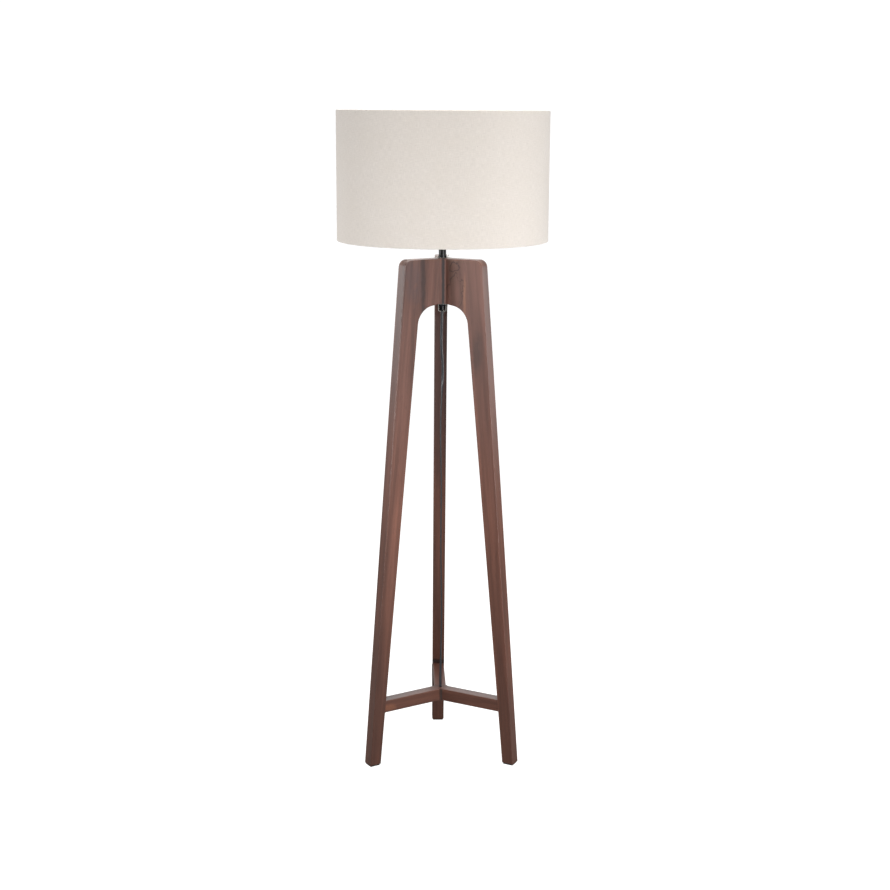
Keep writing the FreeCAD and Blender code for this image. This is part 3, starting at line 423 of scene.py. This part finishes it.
def flexVinyl():
    # Soft black PVC, extruded: nearly smooth, a dull sheen with a cool edge
    material, tree, shader = newMaterial("flex PVC", "#24262b", 0.34, IOR=1.5)
    place = addNode(tree, "TexCoord").outputs["Object"]
    laid = addNode(tree, "Mapping", {"Vector": place, "Scale": perSize(2.5, 2.5, 2.5)})
    grain = addNode(tree, "TexNoise", {"Vector": laid, "Scale": 1, "Detail": 3, "Roughness": grainRough})
    gloss = addNode(tree, "MapRange", {0: grain, 1: 0.3, 2: 0.7, 3: 0.28, 4: 0.42})
    bump = addNode(tree, "Bump", {"Height": grain, "Strength": 1, "Distance": 0.05 * mm})
    tree.links.new(gloss.outputs[0], shader.inputs["Roughness"])
    tree.links.new(bump.outputs[0], shader.inputs["Normal"])
    return material


flex = makeCord(flexVinyl())
print("cord is done")


# linen drum on a stiff liner, with rolled hems; in mm but for the counts
shadeFacts = {
    "overlap": 12,  # how far the linen laps over itself at the back
    "columns": 180,
    "rows": 24,
    "linenThick": 0.9,
    "hemHigh": 2.6,
    "hemThick": 0.4,
    "hemOutside": 1.0,  # from the drum's widest radius inwards: the outer leaf lies behind the linen
    "hemInside": 6.0,
    "hemFlat": 0.4,  # the roll is pressed flatter than round
    "hemRound": 8,  # faces over the roll
    "hemSteps": 144,
}


def spun(shape, steps, angle=2 * math.pi, merge=True, centre=(0, 0, 0), axis=(0, 0, 1)):
    bmesh.ops.spin(shape, geom=shape.verts[:] + shape.edges[:], cent=centre, axis=axis, angle=angle,
                   steps=steps, use_merge=merge)


def outlineOf(points):  # an open line of edges to spin
    shape = bmesh.new()
    corners = [shape.verts.new(Vector(p)) for p in points]
    for pair in zip(corners, corners[1:]):
        shape.edges.new(pair)
    return shape


def clothPiece(name, shape, thick):
    piece = newPiece(name, shape)
    for face in piece.data.polygons:
        face.use_smooth = True
    wall = piece.modifiers.new("thickness", "SOLIDIFY")
    wall.thickness, wall.offset = thick * mm, -1
    return piece


def makeLinen(material, hemMaterial):
    facts = shadeFacts
    low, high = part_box("shade_fabric")
    radius, tall = high.x, high.z - low.z
    rows, columns = facts["rows"], facts["columns"]
    turn = 2 * math.pi + facts["overlap"] * mm / radius
    shape = outlineOf([(0, radius, low.z + tall * i / rows) for i in range(rows + 1)])
    spun(shape, columns, turn, merge=False)
    shape.verts.index_update()
    layer = shape.loops.layers.uv.new("cloth")  # metres round the drum and up it
    for face in shape.faces:
        angles = [math.atan2(-v.co.x, v.co.y) % (2 * math.pi) for v in face.verts]
        for loop, angle in zip(face.loops, angles):
            if max(angles) - angle > math.pi:
                angle += 2 * math.pi
            loop[layer].uv = (angle * radius, loop.vert.co.z)
    lastColumns = [v for v in shape.verts if v.index >= (rows + 1) * (columns - 1)]
    grow = 1 + facts["linenThick"] * mm / radius  # the lap lies on the first layer
    bmesh.ops.scale(shape, vec=(grow, grow, 1), verts=lastColumns)
    bmesh.ops.recalc_face_normals(shape, faces=shape.faces)
    for edge in shape.edges:
        edge.smooth = not edge.is_boundary  # the cut edges stay crisp under the smooth shading
    piece = clothPiece("shade_linen", shape, facts["linenThick"])
    finishPiece(piece, "shade", material, ["shade_fabric"])
    hems = [makeHem("top", 1, hemMaterial), makeHem("bottom", -1, hemMaterial)]


def makeHem(end, sign, material):
    # hem tape rolled over the wire: a thin band whose section is a hook
    facts = shadeFacts
    low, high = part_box("shade_hem_" + end)
    edge = high.z if sign > 0 else low.z
    outer, inner = high.x - facts["hemOutside"] * mm, high.x - facts["hemInside"] * mm
    middle, half = (outer + inner) / 2, (outer - inner) / 2
    flat = facts["hemFlat"] * half
    leafEnd = edge - sign * facts["hemHigh"] * mm
    centre = edge - sign * flat
    points = [(0, outer, leafEnd)]
    for i in range(facts["hemRound"] + 1):
        angle = math.pi * i / facts["hemRound"]
        points.append((0, middle + half * math.cos(angle), centre + sign * flat * math.sin(angle)))
    points.append((0, inner, leafEnd))
    shape = outlineOf(points)
    spun(shape, facts["hemSteps"])
    bmesh.ops.recalc_face_normals(shape, faces=shape.faces)
    piece = clothPiece("shade_roll_" + end, shape, facts["hemThick"])
    finishPiece(piece, "shade", material, ["shade_hem_" + end])
    return piece


linenLook = {
    "yarns": {  # width and height of the pattern on the cloth in mm, detail, shift
        "weft": ((12, 1.1, 1), 3, (0, 0, 0)),  # threads drawn a little wider than the real 0.8 mm
        "warp": ((1.1, 12, 1), 3, (0, 0, 0)),
        "clouds": ((60, 40, 1), 2, (0, 0, 0)),
        "slubs": ((26, 1.8, 1), 1, (7, 3, 0)),
        "rises": ((1.8, 26, 1), 1, (3, 8, 0)),
        "flecks": ((6, 1.8, 1), 1, (2, 9, 0)),
    },
    "dark": "#c8c1ba",
    "light": "#d6cfc8",
    "cloud": "#ccc4ba",
    "slub": "#dfd9d1",
    "fleck": "#8f8071",
    "bump": 0.2,
}


def linen():
    # Off-white linen, plain woven from uneven yarn: a faint grid, short raised slubs both ways,
    # sparse brown flecks of plant stalk, and no shine
    look = linenLook
    material, tree, shader = newMaterial("slub linen", "#d3ccc4", 0.94, SheenWeight=0.15, SheenRoughness=0.5)
    cloth = addNode(tree, "UVMap", uv_map="cloth")
    yarns = {}
    for name, (size, detail, shift) in look["yarns"].items():
        laid = addNode(tree, "Mapping", {"Vector": cloth, "Location": shift, "Scale": perSize(*size)})
        yarns[name] = addNode(tree, "TexNoise", {"Vector": laid, "Scale": 1, "Detail": detail,
                                                 "Roughness": grainRough})
    slubs = addNode(tree, "MapRange", {0: yarns["slubs"], 1: 0.68, 2: 0.8})
    rises = addNode(tree, "MapRange", {0: yarns["rises"], 1: 0.68, 2: 0.8})
    flecks = addNode(tree, "MapRange", {0: yarns["flecks"], 1: 0.78, 2: 0.82})
    weave = addNode(tree, "Math", {0: yarns["weft"], 1: yarns["warp"]}, operation="ADD")
    raised = addNode(tree, "Math", {0: slubs, 1: rises}, operation="MAXIMUM")
    layers = [  # how much of the next colour shows, and the colour
        (addNode(tree, "MapRange", {0: weave, 1: 0.75, 2: 1.25}), look["light"]),
        (addNode(tree, "MapRange", {0: yarns["clouds"], 1: 0.35, 2: 0.7, 4: 0.25}), look["cloud"]),
        (addNode(tree, "Math", {0: raised, 1: 0.45}, operation="MULTIPLY"), look["slub"]),
        (addNode(tree, "Math", {0: flecks, 1: 0.8}, operation="MULTIPLY"), look["fleck"])]
    colour = look["dark"]
    for share, nextColour in layers:
        colour = addNode(tree, "Mix", {0: share, 6: colour, 7: nextColour}, data_type="RGBA").outputs[2]
    relief = addNode(tree, "Math", {0: weave, 1: slubs}, operation="ADD")
    bump = addNode(tree, "Bump", {"Height": relief, "Strength": 0.35, "Distance": look["bump"] * mm})
    tree.links.new(colour, shader.inputs["Base Color"])
    tree.links.new(bump.outputs[0], shader.inputs["Normal"])
    return material


def hemTape():
    # Woven cotton tape, a little greyer than the linen, with a fine rib across it
    material, tree, shader = newMaterial("hem tape", "#cac3ba", 0.9, SheenWeight=0.15)
    place = addNode(tree, "TexCoord").outputs["Object"]
    laid = addNode(tree, "Mapping", {"Vector": place, "Scale": perSize(4, 4, 1.2)})
    rib = addNode(tree, "TexNoise", {"Vector": laid, "Scale": 1, "Detail": 1, "Roughness": grainRough})
    colour = addNode(tree, "Mix", {0: rib, 6: "#c3bcb3", 7: "#d0cac1"}, data_type="RGBA").outputs[2]
    bump = addNode(tree, "Bump", {"Height": rib, "Strength": 0.5, "Distance": 0.05 * mm})
    tree.links.new(colour, shader.inputs["Base Color"])
    tree.links.new(bump.outputs[0], shader.inputs["Normal"])
    return material


makeLinen(linen(), hemTape())
print("shade is done")


# what the finishes of the small parts share
speckleLook = {
    "patch": 8,  # patches are this many times as wide as the fine texture
    "glossy": 0.8,  # roughness of the smoothest patches, as a share of the finish's own
    "dull": 1.25,
    "bump": 0.4,
}


def speckled(name, colour, other, roughness, size, depth, **settings):
    # a plain finish whose tone and gloss wander a little, over a fine surface texture; size and depth
    # of the texture are in mm
    look = speckleLook
    material, tree, shader = newMaterial(name, colour, roughness, **settings)
    place = addNode(tree, "TexCoord").outputs["Object"]
    wide = size * look["patch"]
    laid = addNode(tree, "Mapping", {"Vector": place, "Scale": perSize(wide, wide, wide)})
    patches = addNode(tree, "TexNoise", {"Vector": laid, "Scale": 1, "Detail": 3, "Roughness": grainRough})
    laid = addNode(tree, "Mapping", {"Vector": place, "Scale": perSize(size, size, size)})
    fine = addNode(tree, "TexNoise", {"Vector": laid, "Scale": 1, "Detail": 4, "Roughness": grainRough})
    tone = addNode(tree, "Mix", {0: patches, 6: colour, 7: other}, data_type="RGBA").outputs[2]
    gloss = addNode(tree, "MapRange", {0: patches, 1: 0.3, 2: 0.7, 3: roughness * look["glossy"],
                                       4: min(1, roughness * look["dull"])})
    bump = addNode(tree, "Bump", {"Height": fine, "Strength": look["bump"], "Distance": depth * mm})
    tree.links.new(tone, shader.inputs["Base Color"])
    tree.links.new(gloss.outputs[0], shader.inputs["Roughness"])
    tree.links.new(bump.outputs[0], shader.inputs["Normal"])
    return material


finishes = {
    # Black stove enamel on a steel stem: mirror-like, a slight orange peel
    "enamel": (speckled("black enamel", "#060708", "#0b0c0f", 0.3, 3, 0.02, SpecularIORLevel=0.25),
               ["stem_tube", "stem_flange", "cord_grip"]),
    # Moulded phenolic: near black with a brown cast, satin
    "phenolic": (speckled("phenolic", "#141210", "#1f1b18", 0.32, 1.5, 0.03),
                 ["lampholder_cap", "switch_knob", "shade_clamp_lower", "shade_clamp_upper"]),
    # Bright nickel on bent strip: a cool silver with faint rolling marks
    "nickel": (speckled("nickel plate", "#b4b4ae", "#c9c8c2", 0.24, 2, 0.02, Metallic=1.0),
               ["grip_yoke", "stem_saddle", "switch_bush", "switch_shaft", "plug_pins"]),
    # Black-passivated zinc on the nut above the grip: dark, with a dull metal gleam
    "blackZinc": (speckled("black zinc plate", "#1b1c20", "#2a2c31", 0.35, 2, 0.03, Metallic=1.0),
                  ["pipe_nut_lower"]),
    # Zinc plate: greyer and mottled, from the spangle of the coating
    "zinc": (speckled("zinc plate", "#8f9394", "#a9adad", 0.38, 3, 0.03, Metallic=1.0),
             ["post_washer", "pipe_nut_upper", "lamp_pipe", "channel_clips", "clip_screws",
              "pad_tacks", "grip_screw"]),
    # Drawn brass: warm yellow with a little tarnish
    "brass": (speckled("brass", "#b98f45", "#a67c38", 0.3, 2, 0.02, Metallic=1.0),
              ["screw_shell", "centre_contact"]),
    # Opal glass: milk white, smooth outside, light soaks into it
    "opal": (speckled("opal glass", "#efece4", "#f4f2ec", 0.2, 6, 0.01, SubsurfaceWeight=0.4,
                      SubsurfaceRadius=(1, 1, 1), SubsurfaceScale=0.004),
             ["bulb_glass"]),
    # Rolled aluminium of the bulb's screw cap: pale and soft in its shine
    "capMetal": (speckled("rolled aluminium", "#b9bab8", "#cbccca", 0.3, 2, 0.02, Metallic=1.0), ["bulb_cap"]),
    # Vitrite glass at the bulb's foot: black and shiny
    "vitrite": (speckled("vitrite", "#120e14", "#1c1620", 0.2, 3, 0.02), ["bulb_insulator"]),
    # Solder: dull grey lump
    "solder": (speckled("solder", "#8b8a84", "#a09e97", 0.45, 1.5, 0.05, Metallic=1.0), ["bulb_tip"]),
    # Powder-coated wire: off-white, eggshell, finely pebbled
    "powder": (speckled("white powder coat", "#d9d7cf", "#e4e2db", 0.45, 1.2, 0.05),
               ["shade_carrier", "shade_wire_top", "shade_wire_bottom"]),
    # Styrene sheet behind the linen: smooth, white, matt
    "liner": (speckled("white styrene", "#e9e7e1", "#efeee9", 0.55, 5, 0.02), ["shade_liner"]),
    # Beech dowel: pale pinkish brown with short flecks
    "beech": (speckled("beech", "#c19a6b", "#a98256", 0.6, 1, 0.05),
              ["head_dowels", "hub_dowels", "leg_dowels"]),
    # Hard rubber foot: dull black, slightly dusty
    "rubber": (speckled("hard rubber", "#1b1a18", "#2a2826", 0.75, 1.5, 0.08), ["foot_pads"]),
    # Insulated leads inside the pipe: dark grey, slightly waxy
    "leads": (speckled("lead insulation", "#23252a", "#2d2f34", 0.4, 2, 0.02), ["supply_leads"]),
    # Hook-and-loop band: black, fuzzy, no shine
    "band": (speckled("hook and loop band", "#17171a", "#242428", 0.95, 0.8, 0.3, SheenWeight=0.4),
             ["hank_tie"]),
    # Moulded PVC of the plug: satin black
    "plugVinyl": (speckled("moulded PVC", "#17181b", "#202226", 0.36, 1.5, 0.05), ["plug_body"]),
}
for material, members in finishes.values():
    for member in members:
        paint(nodes[member], material)


turnedSteps = 72
creaseAngle = 35  # degrees past which an edge looks sharp


def turned(name, points, centre, axis):
    # points are radius and place along the axis in mm, from the axis outwards and back to it
    middle, along = Vector(centre) * mm, Vector(axis)
    shape = outlineOf([middle + Vector((1, 0, 0)) * radius * mm + along * place * mm
                       for radius, place in points])
    spun(shape, turnedSteps, centre=middle, axis=axis)
    bmesh.ops.remove_doubles(shape, verts=shape.verts, dist=0.01 * mm)
    bmesh.ops.recalc_face_normals(shape, faces=shape.faces)
    piece = newPiece(name, shape)
    piece.data.shade_smooth()
    piece.data.set_sharp_from_angle(angle=math.radians(creaseAngle))
    return piece


# all in mm
holderSkirt = {
    "radius": 19.2,  # over the thread
    "threadDeep": 0.7,
    "pitch": 2.4,
    "threadStart": 1257.0,  # height above the floor
    "threadShape": [(0.1, 1), (0.35, 0), (0.65, 0), (0.9, 1)],  # place in the pitch, share of the depth
    "flangeHigh": 3.6,
    "flangeEdge": 0.6,
    "neckUp": 5.2,
    "wall": 4,
    "lip": 0.5,
    "floorUp": 10,
}


def makeHolderSkirt():
    # the outside thread of the lampholder that the shade's rings screw onto
    facts = holderSkirt
    low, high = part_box("lampholder_body")
    wide, bottom, top = high.x / mm, low.z / mm, high.z / mm
    rim, edge, lip = facts["radius"], facts["flangeEdge"], facts["lip"]
    root, inside, inner = rim - facts["threadDeep"], rim - facts["wall"], bottom + facts["floorUp"]
    points = [(0, bottom), (wide - edge, bottom), (wide, bottom + edge),
              (wide, bottom + facts["flangeHigh"]), (root, bottom + facts["neckUp"])]
    level = facts["threadStart"]
    while level + facts["pitch"] < top - 1:
        for share, depth in facts["threadShape"]:
            points.append((rim - depth * facts["threadDeep"], level + facts["pitch"] * share))
        level += facts["pitch"]
    points += [(root, top - lip), (root - lip, top), (inside + lip, top), (inside, top - lip),
               (inside, inner), (0, inner)]
    finishPiece(turned("lampholder_skirt", points, (0, 0, 0), (0, 0, 1)), "frame",
                finishes["phenolic"][0], ["lampholder_body"])


# all in mm
bendSleeve = {
    "near": 3.6,  # radius where the cord enters
    "nearEdge": 0.4,
    "core": 3.3,  # least radius in a groove
    "ribs": 6,
    "firstRib": 0.6,
    "plainEnd": 2,  # without ribs, at the plug
    "grooveDeep": 0.9,
    "grooveShape": [(0.58, 0), (0.66, 1), (0.94, 1), (1, 0)],  # place in the step, share of the depth
}


def makeBendSleeve():
    # ribbed sleeve that keeps the cord from kinking at the plug
    facts = bendSleeve
    low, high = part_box("plug_sleeve")
    middle, long = (low + high) / 2 / mm, (high.y - low.y) / mm
    near, far = facts["near"], (high.x - low.x) / 2 / mm
    step = (long - facts["plainEnd"]) / facts["ribs"]
    points = [(0, 0), (near - facts["nearEdge"], 0), (near, facts["nearEdge"])]
    for i in range(facts["ribs"]):
        for share, deep in facts["grooveShape"]:
            along = facts["firstRib"] + step * (i + share)
            radius = near + (far - near) * along / long
            points.append((max(facts["core"], radius - deep * facts["grooveDeep"]), along))
    points += [(far, long), (0, long)]
    finishPiece(turned("bend_sleeve", points, (middle.x, low.y / mm, middle.z), (0, 1, 0)), "frame",
                finishes["plugVinyl"][0], ["plug_sleeve"])


makeHolderSkirt()
makeBendSleeve()
print("small parts are done")
